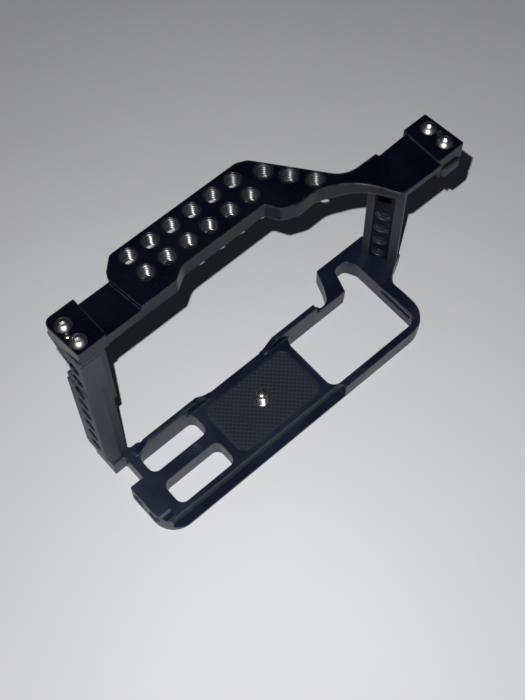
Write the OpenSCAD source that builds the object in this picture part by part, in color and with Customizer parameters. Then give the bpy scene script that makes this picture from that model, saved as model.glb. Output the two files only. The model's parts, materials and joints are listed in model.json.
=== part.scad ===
// Camera cage: a machined frame that a mirrorless camera is screwed into.
// Origin: on the axis of the camera screw, in the plane the camera rests on.
// +X runs toward the battery side, +Y toward the lens side, +Z up.
// Heights below are all counted from the underside of the base plate.

/* [Cage] */
// Height of the top face above the underside
cage_height = 112.5; // [106:0.5:120]
// Thickness of the top plate
top_t = 8; // [7:0.5:9]
// Diameter of the accessory thread (1/4 inch)
thread_d = 6.35; // [6:0.05:6.6]
// Pitch between neighbouring accessory holes
hole_pitch = 10; // [9:0.1:11]
// Depth of the countersink at the mouth of each accessory hole
mouth_chamfer = 0.4; // [0.2:0.1:0.7]

/* [Base plate] */
// X of the outer left edge
base_left = -68.5; // [-72:0.5:-67]
// X of the outer right edge
base_right = 82; // [81:0.5:83]
// Y of the near edge, also the near side of the dovetail
base_near = -20; // [-22:0.5:-19]
// Width of the dovetail on the underside
dovetail_w = 38; // [36:0.5:40]
// Thickness of the base plate
base_t = 9.7; // [9:0.1:11]
// Radius of the two near corners
base_corner_r = 11; // [8:0.5:13]
// Height of the upright lip under the dovetail bevel
dovetail_lip = 1.2; // [0.8:0.1:1.6]
// Depth of the dovetail bevel, measured inward
dovetail_depth = 3.2; // [2.5:0.1:3.6]
// X at which the dovetail bevel ends on the left side
dovetail_left = -65.6; // [-66:0.2:-60]
// X at which the dovetail bevel ends on the battery side
dovetail_right = 31; // [28:0.5:34]
// Radius left by the cutter at both ends of the dovetail
dovetail_end_r = 3; // [1:0.5:3]
// Height of the anti-twist lips above the underside
lip_z = 15.2; // [13:0.2:17]
// Y of the faces that the camera front rests against
stop_y = 15.2; // [14.5:0.1:16]
// Wall thickness of the anti-twist lips
lip_t = 2.6; // [2:0.1:3]

/* [Base openings] */
// X where the two strap slots begin
slot_left = -57; // [-58:0.5:-55]
// X where the two strap slots end
slot_right = -27; // [-30:0.5:-26]
// Near edge of the far slot
slot_far_near = 4; // [3:0.1:5]
// Far edge of the near slot
slot_near_far = -1.8; // [-2.5:0.1:-1]
// Near edge of the near slot
slot_near_near = -14.2; // [-15:0.1:-13]
// Corner radius of the slots
slot_r = 3.5; // [2.5:0.1:4.5]
// Left edge of the battery opening
battery_left = 26.5; // [25.5:0.5:28]
// Right edge of the battery opening
battery_right = 76.6; // [74:0.2:77.5]
// Near edge of the battery opening
battery_near = -16.6; // [-17:0.1:-15.5]
// Corner radius of the battery opening
battery_r = 4.5; // [3:0.5:6]

/* [Pad] */
// Length of the rubber pad
pad_len = 45.6; // [44:0.2:48]
// Near edge of the rubber pad
pad_near = -14; // [-15:0.1:-13]
// Far edge of the rubber pad
pad_far = 12.4; // [11.5:0.1:14.5]
// Corner radius of the rubber pad
pad_r = 4.5; // [3:0.5:6]
// Depth of the pad pocket
pad_pocket = 2.2; // [1.8:0.1:2.6]
// How far the pad stands above the plate
pad_proud = 0.3; // [0.1:0.1:0.6]
// Thickness of the adhesive sheet under the pad
adhesive_t = 0.3; // [0.2:0.05:0.4]
// Gap between the pad and its pocket wall
pad_gap = 0.2; // [0.1:0.05:0.3]

/* [Camera screw] */
// Diameter of the camera screw
screw_d = 6.3; // [6.2:0.05:6.35]
// Height of the screw tip above the underside
screw_tip_z = 16.4; // [14:0.2:18]
// Diameter of the screw head in the underside
screw_head_d = 15; // [12:0.5:16]
// Height of the screw head
screw_head_t = 2.4; // [2:0.1:2.8]
// Free travel of the captive screw
screw_float = 0.9; // [0.4:0.1:1.2]
// Diameter of the plain neck below the thread
screw_neck_d = 4.8; // [4.5:0.1:5.2]
// Thickness of the washer above the head
washer_t = 0.5; // [0.4:0.1:0.8]
// Thickness of the retaining ring
ring_t = 0.8; // [0.6:0.1:1]
// Outer diameter of the retaining ring
ring_d = 8.6; // [8:0.1:9.4]
// Radial clearance of the neck in the washer
neck_gap = 0.06; // [0.03:0.01:0.1]
// Depth of the head pocket in the underside
head_pocket = 4.1; // [3.9:0.1:4.6]

/* [Left upright] */
// X of the outer face of the left upright
left_out = -69.2; // [-70:0.1:-68.6]
// Depth of the relief on the outer face near the top
left_relief = 0.7; // [0.3:0.1:1.2]
// X of the step on its near face
left_step_x = -62.2; // [-63:0.1:-61.5]
// X where the broad bevel of the top part begins
left_bevel_x = -59.4; // [-60.5:0.1:-58.5]
// X of the inner face below the shoulder
left_in = -57.8; // [-58.5:0.1:-57.2]
// X of the inner face above the shoulder
left_in_top = -56.2; // [-56.8:0.1:-55.6]
// Y of the near face
left_near = 19.2; // [18.8:0.1:19.6]
// Y of the far face below the scoop
left_far = 32.2; // [31.2:0.1:33]
// Height of the shoulder on the inner face
left_shoulder_z = 60; // [57:0.5:66]
// Height where the outer face steps back
left_relief_z = 77.5; // [74:0.5:79.5]
// Height of the lowest accessory hole
left_hole_z = 24.8; // [22:0.2:26]
// Number of accessory holes
left_hole_count = 8; // [4:1:8]

/* [Right upright] */
// Angle of the right upright, seen from above
pillar_angle = -63.6; // [-66:0.2:-61]
// Width of the right upright
pillar_w = 16.4; // [15.5:0.1:17]
// Thickness of the right upright
pillar_t = 6.6; // [5.5:0.1:7.5]
// Depth of the channel in its inner face
channel_depth = 1.2; // [0.8:0.1:2]
// Width of the rail left of the channel
channel_from = 3.4; // [3:0.1:4]
// Width of the channel
channel_w = 9; // [8:0.1:9.5]
// Height of the lowest hole in the channel
pillar_hole_z = 14.2; // [13.8:0.1:16]
// Number of holes in the channel
pillar_hole_count = 4; // [2:1:4]

/* [Top plate] */
// X of the outer left edge
top_left = -69.2; // [-70.2:0.2:-69]
// X of the outer right edge
top_right = 98.4; // [96.4:0.5:99]
// Near edge of the left half
top_near = 20; // [19.5:0.1:20.5]
// Far edge of the left half
top_far = 44.7; // [44:0.1:46]
// Depth of the step beside the left end block
top_step = 2.5; // [1:0.1:3]
// X where the left end block ends
left_block_x = -55; // [-57:0.5:-54]
// Far edge of the left end block
left_block_far = 38.9; // [38.2:0.1:39.2]
// X where the raised part begins
raised_x = -41; // [-43:0.5:-39]
// X where the right end block begins
right_block_x = 85; // [83:0.5:85]
// Near edge of the right end block
right_block_near = -6.4; // [-6.6:0.1:-5]
// Far edge of the right end block
right_block_far = 13.1; // [12.3:0.1:13.4]
// Thickness of the slim right arm
arm_t = 3.5; // [3:0.1:5]
// X of the first hole in the far row
row_a_x = -28.9; // [-30:0.1:-28]
// Y of the far row of holes
row_a_y = 39.5; // [39:0.1:40]
// X of the first hole in the near row
row_b_x = -28.4; // [-30:0.1:-28]
// Y of the near row of holes
row_b_y = 30; // [29.5:0.1:30.5]
// Number of holes in each straight row
row_count = 6; // [3:1:6]
// Direction of the slanted row of holes
row_c_angle = -52.8; // [-54:0.2:-51]
// Number of holes in the slanted row
row_c_count = 3; // [1:1:3]

/* [Fasteners] */
// Diameter of the top screws
top_screw_d = 3; // [2.9:0.1:3.2]
// Head diameter of the top screws
top_head_d = 5.8; // [5.5:0.1:6.4]
// Head height of the top screws
top_head_t = 1.9; // [1.7:0.1:2.3]
// Length of the top screws under the head
top_screw_len = 10; // [9.5:0.5:11]
// Key width of the top screws
top_key = 2; // [1.8:0.1:2.4]
// Depth of the counterbore of the top screws
top_recess = 0.6; // [0.4:0.1:1.2]
// Distance between the two screws of a pair on top
top_screw_pitch = 8.7; // [8.2:0.1:9.2]
// Diameter of the countersunk screws in the feet
foot_screw_d = 3; // [2.9:0.1:3.1]
// Head diameter of the countersunk screws
foot_head_d = 5.6; // [5:0.1:6]
// Length of the countersunk screws
foot_screw_len = 16; // [14:0.5:18]
// Key width of the countersunk screws
foot_key = 2; // [1.5:0.1:2.2]
// Diameter of the dowel pins in the top plate
top_pin_d = 2; // [1.8:0.1:2.2]
// Length of the dowel pins in the top plate
top_pin_len = 12; // [10:0.5:12.5]
// Diameter of the dowel pins in the feet
foot_pin_d = 1.5; // [1.2:0.1:1.8]
// Length of the dowel pins in the feet
foot_pin_len = 9; // [7:0.5:10]
// Clearance around each screw in a through hole
hole_gap = 0.2; // [0.1:0.05:0.3]

/* [Hidden] */

$fn = 64;
cut = 1;             // how far a cut runs past the face it opens
arc_step = 7.5;      // degrees between the points of a rounded corner
small_gap = 0.02;    // keeps faces that only meet from sharing volume

thread_r = thread_d / 2;
base_far = base_near + dovetail_w;       // far side of the dovetail
dovetail_top = dovetail_lip + dovetail_depth;
top_seat_z = cage_height - top_t;        // plane on which the top plate is bolted down
pad_floor_z = base_t - pad_pocket;
pad_bottom_z = pad_floor_z + adhesive_t;
pad_top_z = base_t + pad_proud;
ring_room_r = ring_d / 2 + 0.5;          // hole in the pad, wide enough for the ring to rise in

// raised boss with two accessory holes on the left end of the base
boss_z = 11.7;
boss_far = 5.4;
boss_near = -13.4;
boss_right = -61.3;
boss_slope = 2.4;    // length of the slope at its near end
rib_z = 10.9;        // height of the low rib opposite the boss
boss_hole_y = [0.6, 0.6 - hole_pitch];
boss_hole_depth = 9;

// foot under the left upright
foot_left = -67.2;
foot_near = 18.4;
foot_screw_x = foot_left + 3.8;
foot_screw_y = [22.2, 28.6];
foot_pin_x = foot_left + 7.3;
foot_pin_y = [23.4, 29];

// pillar on the right, in its own frame: x along its width, y outward
pillar_corner = [82.1, 24.8];
pillar_screw_at = [[2.6, 4.5], [13.2, 4.5]];
pillar_pin_at = [[1.9, 1.5], [14.6, 1.5]];
pillar_hole_x = 7.5;
pillar_lean = 0.9;   // how far its near flank leans inward over the pillar's thickness
window_z = [54.5, 66];
window_depth = 3;

// screws and pins on top: centres of the two screws, and the pin between them
left_pair = [-64.2, 28.4];
right_pair = [93, 3];
left_pin_at = [left_pair[0] - 1.6, left_pair[1]];
right_pin_at = [right_pair[0] + 1.6, right_pair[1]];
// depth of the blind holes that the top screws are driven into
top_tap = 4;

// tripod threads in the underside
tripod_x = 16;
tripod_y = -1;
tripod_depth = 6;
big_thread_r = 9.525 / 2;

// puts a piece in the frame of the camera screw and the camera's seat
module placed() {
    translate([0, 0, -pad_top_z]) children();
}

// ---------------------------------------------------------------- outlines

function unit(v) = v / norm(v);

function xy(v) = [v[0], v[1]];

// one corner q of an outline, between p and s, rounded with radius r
function corner(p, q, s, r) =
    r <= 0 ? [q] :
    let (
        a = unit(p - q),
        b = unit(s - q),
        half = acos(a * b) / 2,
        centre = q + unit(a + b) * r / sin(half),
        start = q + a * r / tan(half) - centre,
        turn = sign(a[1] * b[0] - a[0] * b[1]) * (180 - 2 * half),
        steps = max(2, ceil(abs(turn) / arc_step)),
        from = atan2(start[1], start[0])
    )
    [for (i = [0:steps]) centre + r * [cos(from + turn * i / steps), sin(from + turn * i / steps)]];

// an outline of [x, y, corner radius] with every corner rounded
function rounded(points) =
    let (n = len(points))
    [
        for (i = [0:n - 1])
            each corner(
                xy(points[(i + n - 1) % n]), xy(points[i]), xy(points[(i + 1) % n]), points[i][2]
            )
    ];

function box_outline(x0, y0, x1, y1, r) = [[x0, y0, r], [x1, y0, r], [x1, y1, r], [x0, y1, r]];

module slab(outline, z0, z1) {
    translate([0, 0, z0]) linear_extrude(z1 - z0) polygon(rounded(outline));
}

// a block between two corners
module block(low, high) {
    translate(low) cube(high - low);
}

// a side profile of [y, z, radius] points, extruded along x
module side_profile(outline, x0, x1) {
    translate([x0, 0, 0]) rotate([90, 0, 90]) linear_extrude(x1 - x0) polygon(rounded(outline));
}

// an accessory hole along z with a countersunk mouth at one end or both
module accessory_hole(depth, both = true) {
    translate([0, 0, -cut]) cylinder(h = depth + cut + (both ? cut : 0), r = thread_r);
    translate([0, 0, -small_gap])
        cylinder(h = mouth_chamfer + small_gap, r1 = thread_r + mouth_chamfer + small_gap, r2 = thread_r);
    if (both)
        translate([0, 0, depth - mouth_chamfer])
            cylinder(
                h = mouth_chamfer + small_gap,
                r1 = thread_r, r2 = thread_r + mouth_chamfer + small_gap
            );
}

// ---------------------------------------------------------------- base

// outline of the base plate, anticlockwise from its near left corner
base_outline = [
    [base_left, base_near, base_corner_r],
    [base_right, base_near, base_corner_r],
    [base_right, 5, 6],
    [88.2, 9.5, 3],
    [95.4, 13.1, 1],
    [88.9, 31.4, 1],
    [60.6, 31.4, 0.6],
    [57.6, 23.5, 6],
    [53.5, 16.2, 5],
    [48.8, 16.2, 1],
    [48.4, base_far, 0.8],
    [26, base_far, 3],
    [20, base_far - 0.6, 8],
    [-14, base_far - 0.6, 8],
    [-24, base_far + 0.4, 3],
    [-50.6, base_far + 0.4, 1.5],
    [-53.2, 20.2, 4],
    [-57, 20.2, 2],
    [-57.9, 22, 0.5],
    [left_in, left_far, 0.5],
    [foot_left, left_far, 0.5],
    [foot_left, foot_near, 0.4],
    [boss_right, foot_near, 0.8],
    [boss_right, boss_far, 0.8],
    [base_left, boss_far, 0.6],
];

// opening for the battery door, with a lobe beside the right upright
battery_outline = [
    [battery_left, battery_near, battery_r],
    [battery_right, battery_near, battery_r],
    [battery_right, 21, 4],
    [73.5, 26.8, 3],
    [67, 26.8, 3],
    [63.2, stop_y, 1.5],
    [battery_left + 1.5, stop_y, 3],
    [battery_left, stop_y - 4, 2],
];

// anti-twist lip standing on the far edge; a ramp with a soft foot and crest runs down from each end
module lip(x0, x1, ramp_0, ramp_1) {
    soft_r = 5;
    intersection() {
        side_profile(
            [
                [stop_y, base_t - 2 * cut, 0], [stop_y + lip_t, base_t - 2 * cut, 0],
                [stop_y + lip_t, lip_z, 0.8], [stop_y, lip_z, 0.5],
            ],
            x0, x1
        );
        translate([0, stop_y + lip_t + cut, 0])
            rotate([90, 0, 0])
                linear_extrude(lip_t + 2 * cut)
                    polygon(rounded([
                        [x0 - cut, base_t - cut, 0], [x1 + cut, base_t - cut, 0], [x1 + cut, base_t, 0],
                        [x1 - 2, base_t, min(soft_r, ramp_1)], [x1 - 2 - ramp_1, lip_z, min(soft_r, ramp_1)],
                        [x0 + 2 + ramp_0, lip_z, min(soft_r, ramp_0)], [x0 + 2, base_t, min(soft_r, ramp_0)],
                        [x0 - cut, base_t, 0],
                    ]));
    }
}

// wedge that cuts the dovetail bevel and the upright wall above it
module dovetail_cut(x0, x1) {
    wall_y = base_near + dovetail_depth;
    intersection() {
        side_profile(
            [
                [base_near - cut, dovetail_lip - cut, 0],
                [base_near, dovetail_lip, 0],
                [wall_y, dovetail_top, 0.6],
                [wall_y, base_t + cut, 0],
                [base_near - cut, base_t + cut, 0],
            ],
            x0 - cut, x1 + cut
        );
        slab(
            [
                [x0, base_near - 2 * cut, 0], [x1, base_near - 2 * cut, 0],
                [x1, wall_y, dovetail_end_r], [x0, wall_y, dovetail_end_r],
            ],
            -cut, base_t + 2 * cut
        );
    }
}

module base_plate() {
    color("#22252b") placed()
        difference() {
            union() {
                slab(base_outline, 0, base_t);
                // raised boss on the left end, rounded with the plate corner
                intersection() {
                    slab(base_outline, 0, boss_z);
                    side_profile(
                        [
                            [boss_near - boss_slope, base_t - cut, 0],
                            [boss_near - boss_slope, base_t, 0],
                            [boss_near, boss_z, 3.5],
                            [boss_far + cut, boss_z, 0],
                            [boss_far + cut, base_t - cut, 0],
                        ],
                        base_left - cut, boss_right - 0.5
                    );
                }
                // low rib on the right arm, its far end a long ramp
                intersection() {
                    slab(base_outline, 0, boss_z);
                    side_profile(
                        [
                            [boss_near - boss_slope, base_t - cut, 0],
                            [boss_near - boss_slope, base_t, 0],
                            [boss_near, rib_z, 3],
                            [-3, rib_z, 12],
                            [7, base_t, 0],
                            [7, base_t - cut, 0],
                        ],
                        battery_right + small_gap, base_right + cut
                    );
                }
                lip(-58, -15, 5, 6);
                lip(14, 48.3, 6, 0.5);
            }
            strap_slots();
            slab(battery_outline, -cut, lip_z + cut);
            // groove in the inner right wall
            block([battery_right - cut, -13, 5.6], [battery_right + 1.2, 5.5, 8.2]);
            dovetail_cut(dovetail_left, dovetail_right);
            far_bevel();
            pad_pocket_cut();
            camera_screw_cut();
            tripod_holes();
            for (y = boss_hole_y)
                translate([base_left, y, boss_z / 2])
                    rotate([0, 90, 0]) accessory_hole(boss_hole_depth, false);
            // foot screws and pins of both uprights
            for (y = foot_screw_y) translate([foot_screw_x, y, 0]) countersunk_hole();
            for (y = foot_pin_y) translate([foot_pin_x, y, 0]) foot_pin();
            on_pillar() {
                for (at = pillar_screw_at) translate(at) countersunk_hole();
                for (at = pillar_pin_at) translate(at) foot_pin();
            }
            // tapped hole in the bar between the strap slots
            translate(bar_screw_at) cylinder(h = base_t, d = bar_screw_d);
        }
}

bar_screw_d = 3;
bar_screw_len = 6;
bar_screw_at = [-36, 1.1, base_t - bar_screw_len - 0.3];

module strap_slots() {
    slab(box_outline(slot_left, slot_far_near, slot_right, stop_y, slot_r), -cut, lip_z + cut);
    slab(box_outline(slot_left, slot_near_near, slot_right, slot_near_far, slot_r), -cut, base_t + cut);
}

// the dovetail bevel on the lens side
module far_bevel() {
    translate([0, base_near + base_far, 0])
        mirror([0, 1, 0]) {
            side_profile(
                [
                    [base_near - 3, dovetail_lip - 3, 0],
                    [base_near, dovetail_lip, 0],
                    [base_near + 2.2, dovetail_lip + 2.2, 0],
                    [base_near + 2.2, dovetail_lip + 3, 0],
                    [base_near, dovetail_lip + 5.2, 0],
                    [base_near - 3, dovetail_lip + 8.2, 0],
                ],
                -49, dovetail_right
            );
        }
}

module pad_pocket_cut() {
    slab(
        box_outline(
            -pad_len / 2 - pad_gap, pad_near - pad_gap,
            pad_len / 2 + pad_gap, pad_far + pad_gap, pad_r + pad_gap
        ),
        pad_floor_z, base_t + cut
    );
}

module camera_screw_cut() {
    translate([0, 0, -cut]) cylinder(h = base_t + cut, d = screw_d + 2 * hole_gap + 0.2);
    translate([0, 0, -cut]) cylinder(h = head_pocket + cut, d = screw_head_d + 1);
}

module tripod_holes() {
    translate([-tripod_x, tripod_y, 0]) accessory_hole(tripod_depth, false);
    translate([tripod_x, tripod_y, -cut]) cylinder(h = tripod_depth + cut, r = big_thread_r);
    translate([tripod_x, tripod_y, -small_gap])
        cylinder(
            h = mouth_chamfer + small_gap,
            r1 = big_thread_r + mouth_chamfer + small_gap, r2 = big_thread_r
        );
}

module base_pad() {
    color("#33363b") placed()
        difference() {
            slab(box_outline(-pad_len / 2, pad_near, pad_len / 2, pad_far, pad_r), pad_bottom_z, pad_top_z);
            translate([0, 0, pad_bottom_z - cut]) cylinder(h = pad_pocket + 3 * cut, r = ring_room_r);
        }
}

module pad_adhesive() {
    inset = 0.8;
    color("#c9c6b8") placed()
        difference() {
            slab(
                box_outline(
                    -pad_len / 2 + inset, pad_near + inset,
                    pad_len / 2 - inset, pad_far - inset, pad_r - inset
                ),
                pad_floor_z, pad_bottom_z
            );
            translate([0, 0, pad_floor_z - cut]) cylinder(h = adhesive_t + 2 * cut, r = ring_room_r);
        }
}

// ---------------------------------------------------------------- camera screw

head_z = head_pocket - screw_float - washer_t - screw_head_t;
washer_z = head_z + screw_head_t;
ring_z = pad_floor_z;
thread_from_z = ring_z + ring_t + 0.2;

module camera_screw() {
    tip = 0.9;
    key = 4;
    color("silver") placed()
        difference() {
            union() {
                rotate_extrude()
                    polygon([
                        [0, head_z], [screw_head_d / 2 - 0.4, head_z], [screw_head_d / 2, head_z + 0.4],
                        [screw_head_d / 2, washer_z - 0.3], [screw_head_d / 2 - 0.3, washer_z], [0, washer_z],
                    ]);
                translate([0, 0, head_z + 0.5]) cylinder(h = thread_from_z - head_z, d = screw_neck_d);
                translate([0, 0, thread_from_z])
                    rotate_extrude()
                        polygon([
                            [0, 0], [screw_d / 2 - 0.5, 0], [screw_d / 2, 0.5],
                            [screw_d / 2, screw_tip_z - thread_from_z - tip],
                            [screw_d / 2 - tip, screw_tip_z - thread_from_z],
                            [0, screw_tip_z - thread_from_z],
                        ]);
            }
            // coin slot across the head, and the key socket in its middle
            block([-screw_head_d / 2 - cut, -0.8, head_z - cut], [screw_head_d / 2 + cut, 0.8, head_z + 1.2]);
            translate([0, 0, head_z - cut]) cylinder(h = 2.6 + cut, d = key / cos(30), $fn = 6);
        }
}

module screw_washer() {
    color("gainsboro") placed()
        translate([0, 0, washer_z])
            difference() {
                cylinder(h = washer_t, d = screw_head_d - 2);
                translate([0, 0, -cut]) cylinder(h = washer_t + 2 * cut, d = screw_neck_d + 2 * neck_gap);
            }
}

// split retaining ring snapped on the neck of the screw
module screw_ring() {
    color("silver") placed()
        translate([0, 0, ring_z])
            difference() {
                cylinder(h = ring_t, d = ring_d);
                translate([0, 0, -cut]) cylinder(h = ring_t + 2 * cut, d = screw_neck_d);
                translate([0, -0.9, -cut]) cube([ring_d, 1.8, ring_t + 2 * cut]);
            }
}

module slot_bar_screw() {
    color("dimgray") placed()
        translate(bar_screw_at)
            difference() {
                cylinder(h = bar_screw_len, d = bar_screw_d);
                translate([0, 0, bar_screw_len - 1.6]) cylinder(h = 1.6 + cut, d = 1.5 / cos(30), $fn = 6);
            }
}

// ---------------------------------------------------------------- left upright

left_scoop_y = 30.6; // far face along the narrow top part
left_profile = [
    [left_near, base_t, 0],
    [left_far, base_t, 0],
    [left_far, left_relief_z + 4, 0.8],
    [left_scoop_y, left_relief_z + 5.5, 1],
    [left_scoop_y, top_seat_z - 7.5, 6],
    [left_block_far - 0.3, top_seat_z - 2, 1],
    [left_block_far - 0.3, top_seat_z, 0],
    [left_near + 0.3, top_seat_z, 0],
    [left_near + 0.3, top_seat_z - 1, 0],
    [left_near, top_seat_z - 1.6, 0],
];
left_hole_y = (left_near + left_far) / 2 - 0.6;

module left_upright() {
    color("#262a30") placed()
        difference() {
            side_profile(left_profile, left_out, left_in_top);
            // outer face: relief near the top, taper down to the foot
            block([left_out - cut, 0, left_relief_z], [left_out + left_relief, 60, cage_height]);
            translate([foot_left, 0, base_t - small_gap])
                rotate([0, -14, 0]) block([-10, 0, -2], [0, 60, 12]);
            // inner face below the shoulder
            block([left_in, 0, 0], [left_in_top + cut, 60, left_shoulder_z]);
            // rebate along the inner near edge, and the broad bevel above it
            block([left_step_x, 0, 0], [left_in_top + cut, left_near + 1.8, left_relief_z]);
            translate([left_bevel_x, left_near, left_shoulder_z])
                rotate([0, 0, 32]) block([-cut, -12, 0], [20, 0, cage_height - left_shoulder_z]);
            // bevel along the outer far edge of the narrow top part
            translate([left_out, left_scoop_y, left_relief_z + 5.5])
                rotate([0, 0, 45]) block([-8, -2.2, 0], [2.2, 8, top_seat_z - left_relief_z - 13]);
            for (i = [0:left_hole_count - 1]) {
                from_x = left_out + (i > 5 ? left_relief : 0);
                to_x = i > 3 ? left_in_top : left_in;
                translate([from_x - small_gap / 2, left_hole_y, left_hole_z + i * hole_pitch])
                    rotate([0, 90, 0]) accessory_hole(to_x - from_x + small_gap);
            }
            for (y = foot_screw_y)
                translate([foot_screw_x, y, 0]) cylinder(h = foot_screw_len + 1, d = foot_screw_d);
            for (y = foot_pin_y) translate([foot_pin_x, y, 0]) foot_pin();
            for (s = [-1, 1])
                translate([left_pair[0], left_pair[1] + s * top_screw_pitch / 2, top_seat_z - top_tap])
                    cylinder(h = top_tap + cut, d = top_screw_d);
            top_pin(left_pin_at);
        }
}

// ---------------------------------------------------------------- right upright

// puts its children in the frame of the slanted pillar
module on_pillar() {
    translate([pillar_corner[0], pillar_corner[1], 0]) rotate([0, 0, pillar_angle]) children();
}

arm_from_z = 70;
right_arm_plan = [
    [88.6, -7.5, 1],
    [97.2, -7.5, 1.5],
    [97.2, 12.6, 1],
    [89.4, 27.6, 0.5],
    [83.4, 24.6, 0.5],
    [86, 14, 4],
];
right_arm_side = [
    [-7.6, top_seat_z - 4.5, 0.6],
    [5, top_seat_z - 6.5, 12],
    [10.1, arm_from_z, 0],
    [29, arm_from_z, 0],
    [26.4, arm_from_z + 5.5, 3],
    [17.6, top_seat_z - 9.5, 5],
    [12.8, top_seat_z - 3, 1],
    [12.6, top_seat_z, 0],
    [-7.6, top_seat_z, 0],
];

module right_upright() {
    color("#262a30") placed()
        difference() {
            union() {
                on_pillar()
                    slab(
                        [[0, 0, 0], [pillar_w, 0, 0], [pillar_w - pillar_lean, pillar_t, 0], [0, pillar_t, 0]],
                        base_t, arm_from_z + 2
                    );
                intersection() {
                    slab(right_arm_plan, arm_from_z, top_seat_z);
                    side_profile(right_arm_side, right_arm_plan[4][0] - cut, right_arm_plan[1][0] + cut);
                }
            }
            // channel with the accessory holes, and the window above them
            on_pillar() {
                block(
                    [channel_from, -cut, base_t - cut],
                    [channel_from + channel_w, channel_depth, arm_from_z - 2]
                );
                block(
                    [channel_from + 0.6, -cut, window_z[0]],
                    [channel_from + channel_w - 2, window_depth, window_z[1]]
                );
                for (i = [0:pillar_hole_count - 1])
                    translate([pillar_hole_x, channel_depth, pillar_hole_z + i * hole_pitch])
                        rotate([-90, 0, 0]) accessory_hole(pillar_t - channel_depth);
                for (at = pillar_screw_at) translate(at) cylinder(h = foot_screw_len + 1, d = foot_screw_d);
                for (at = pillar_pin_at) translate(at) foot_pin();
            }
            for (s = [-1, 1])
                translate([right_pair[0], right_pair[1] + s * top_screw_pitch / 2, top_seat_z - top_tap])
                    cylinder(h = top_tap + cut, d = top_screw_d);
            top_pin(right_pin_at);
        }
}

// ---------------------------------------------------------------- top plate

raised_lean = 2.3;   // how far the raised part's left end leans toward its near edge

raised_outline = [
    [raised_x + raised_lean, top_near, 0],
    [-22.3, top_near, 1.5],
    [-16.8, 23.5, 6],
    [22.8, 23.5, 2],
    [26, 17.6, 2],
    [32.9, 14.7, 6],
    [42, 14.85, 10],
    [55.1, 9.35, 30],
    [64.7, -7.7, 2.5],
    [right_block_x, -7.9, 0.6],
    [right_block_x, 11.5, 0],
    [70.2, 10.9, 0.4],
    [69.9, 12.4, 0.6],
    [54.6, 12.6, 12],
    [31.4, 42.7, 4],
    [27, top_far, 6],
    [-34, top_far, 3],
    [-39.4, 39.6, 1.5],
    [raised_x + 0.4, 36.8, 1],
];

// thick core left standing under the slim right arm
arm_core = [
    [40, 13, 0], [51.5, 13.4, 6], [66.5, -2.2, 6], [90, -3, 0],
    [90, 8, 0], [58, 9, 4], [50, 19, 4], [40, 30, 0],
];

module top_plate() {
    left_block = [
        [top_left + 1.5, left_near + 0.3, 0.4],
        [left_block_x, left_near + 0.3, 0.4],
        [left_block_x, left_block_far, 0.4],
        [top_left, left_block_far, 3.2],
    ];
    neck = box_outline(left_block_x - 1, top_near, raised_x + raised_lean + 1, 37.2, 0);
    right_block = [
        [right_block_x, right_block_near, 0.6],
        [top_right, right_block_near, 0.6],
        [top_right - 1.6, right_block_far, 0.6],
        [right_block_x, right_block_far, 0.6],
    ];
    color("#1b1f2a") placed()
        difference() {
            union() {
                slab(left_block, top_seat_z, cage_height);
                slab(neck, top_seat_z, cage_height - top_step);
                slab(raised_outline, top_seat_z, cage_height);
                slab(right_block, top_seat_z, cage_height);
            }
            // the top of the right arm drops a little toward the end block
            translate([0, 30, 0])
                rotate([90, 0, 0])
                    linear_extrude(50)
                        polygon([
                            [58, cage_height + small_gap], [right_block_x, cage_height - block_step],
                            [right_block_x, cage_height + cut], [58, cage_height + cut],
                        ]);
            // the right arm is slim along its near edge, and thickens along a slope at its left end
            difference() {
                translate([0, 30, 0])
                    rotate([90, 0, 0])
                        linear_extrude(50)
                            polygon(rounded([
                                [36, top_seat_z - cut, 0], [right_block_x - 0.6, top_seat_z - cut, 0],
                                [right_block_x - 0.6, cage_height - arm_t, 0.6],
                                [66, cage_height - arm_t, 12], [48, top_seat_z - small_gap, 0],
                            ]));
                slab(arm_core, top_seat_z - 2 * cut, cage_height);
            }
            for (i = [0:row_count - 1]) {
                translate([row_a_x + i * hole_pitch, row_a_y, top_seat_z]) accessory_hole(top_t);
                translate([row_b_x + i * hole_pitch, row_b_y, top_seat_z]) accessory_hole(top_t);
            }
            for (i = [0:row_c_count - 1])
                translate([row_c_at(i)[0], row_c_at(i)[1], top_seat_z]) accessory_hole(top_t);
            for (pair = [left_pair, right_pair])
                for (s = [-1, 1])
                    translate([pair[0], pair[1] + s * top_screw_pitch / 2, 0]) {
                        translate([0, 0, top_seat_z - cut])
                            cylinder(h = top_t + 2 * cut, d = top_screw_d + 2 * hole_gap);
                        translate([0, 0, cage_height - top_recess])
                            cylinder(h = top_recess + cut, d = top_head_d + 2 * hole_gap);
                    }
            for (at = [left_pin_at, right_pin_at]) top_pin(at);
        }
}

block_step = 0.5;    // step between the right arm and its end block
row_c_start = [32.6, 35];

function row_c_at(i) = row_c_start + i * hole_pitch * [cos(row_c_angle), sin(row_c_angle)];

// ---------------------------------------------------------------- fasteners

// button head screw, its seat at z = 0
module button_screw() {
    sphere_r = (pow(top_head_d / 2, 2) + pow(top_head_t, 2)) / (2 * top_head_t) + 0.35;
    difference() {
        union() {
            intersection() {
                cylinder(h = top_head_t, d = top_head_d);
                translate([0, 0, top_head_t - sphere_r]) sphere(r = sphere_r);
            }
            translate([0, 0, -top_screw_len]) cylinder(h = top_screw_len + 0.5, d = top_screw_d);
        }
        translate([0, 0, top_head_t - 1.4]) cylinder(h = 1.4 + cut, d = top_key / cos(30), $fn = 6);
    }
}

module top_pair(pair) {
    for (s = [-1, 1])
        translate([pair[0], pair[1] + s * top_screw_pitch / 2, cage_height - top_recess]) button_screw();
}

module top_left_screws() {
    color("silver") placed() top_pair(left_pair);
}

module top_right_screws() {
    color("silver") placed() top_pair(right_pair);
}

foot_recess = 0.2;
seat_gap = 0.06;     // around a countersunk head in its seat

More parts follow.
